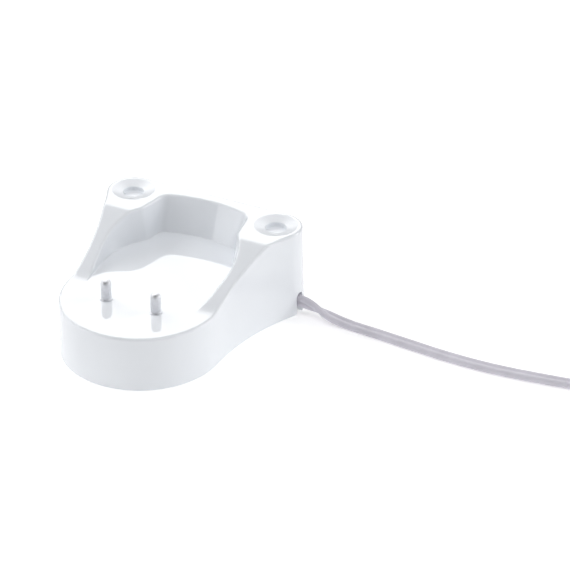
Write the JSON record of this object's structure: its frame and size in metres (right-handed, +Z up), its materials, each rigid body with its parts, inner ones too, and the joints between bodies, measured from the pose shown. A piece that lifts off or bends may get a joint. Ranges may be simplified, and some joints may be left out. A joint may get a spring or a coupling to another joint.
{
  "type": "toothbrush charging base",
  "caption": "Low charging base for an electric toothbrush: round front platform with upright contact pins, ramped sides, walled handle recess, round sockets on top, mains cord and plug.",
  "frame": {"origin": "middle of the casing's footprint, on the surface that the feet stand on", "axes": "+Z up, +X to the right seen from the front, +Y to the rear; the round platform with the pins is at -Y and the cord leaves at the right rear corner towards +X"},
  "size_m": [0.2787, 0.0942, 0.0321],
  "materials": {
    "casing_white": "glossy moulded plastic",
    "base_white": "satin moulded plastic",
    "foot_rubber": "matte grey rubber",
    "seal_rubber": "matte black rubber",
    "pin_metal": "polished plating",
    "screw_steel": "zinc plated",
    "terminal_brass": "stamped brass",
    "board_green": "solder mask",
    "component_black": "moulded epoxy",
    "ferrite": "matte sintered ferrite",
    "winding_tape": "yellow polyester tape over copper wire",
    "capacitor_sleeve": "shrink sleeve over aluminium",
    "capacitor_blue": "dipped epoxy",
    "resistor_tan": "coated ceramic",
    "wire_brown": "PVC insulation",
    "wire_blue": "PVC insulation",
    "cord_grey": "soft grey PVC",
    "blade_metal": "nickel plated"
  },
  "bodies": {
    "root": {"housing_top": "casing_white", "base_plate": "base_white", "foot_front_left": "foot_rubber", "foot_front_right": "foot_rubber", "foot_rear_left": "foot_rubber", "foot_rear_right": "foot_rubber", "base_screw_1": "screw_steel", "base_screw_2": "screw_steel", "base_screw_3": "screw_steel", "base_screw_4": "screw_steel", "contact_pin_left": "pin_metal", "contact_pin_right": "pin_metal", "pin_seal_left": "seal_rubber", "pin_seal_right": "seal_rubber", "pin_terminal_left": "terminal_brass", "pin_terminal_right": "terminal_brass", "pin_nut_left": "screw_steel", "pin_nut_right": "screw_steel", "pin_wire_left": "wire_brown", "pin_wire_right": "wire_blue", "circuit_board": "board_green", "board_screw_1": "screw_steel", "board_screw_2": "screw_steel", "board_screw_3": "screw_steel", "board_screw_4": "screw_steel", "transformer_core": "ferrite", "transformer_bobbin": "component_black", "transformer_winding": "winding_tape", "input_capacitor": "capacitor_sleeve", "output_capacitor": "capacitor_sleeve", "fusible_resistor": "resistor_tan", "output_diode": "component_black", "bridge_rectifier": "component_black", "controller_chip": "component_black", "optocoupler": "component_black", "safety_capacitor": "capacitor_blue", "cable_clamp": "base_white", "clamp_screw_1": "screw_steel", "clamp_screw_2": "screw_steel", "mains_wire_live": "wire_brown", "mains_wire_neutral": "wire_blue", "cord_run": "cord_grey", "cord_coil": "cord_grey", "cord_tail": "cord_grey", "plug_strain_relief": "cord_grey", "plug_body": "cord_grey", "plug_blade_left": "blade_metal", "plug_blade_right": "blade_metal"}
  },
  "joints": []
}
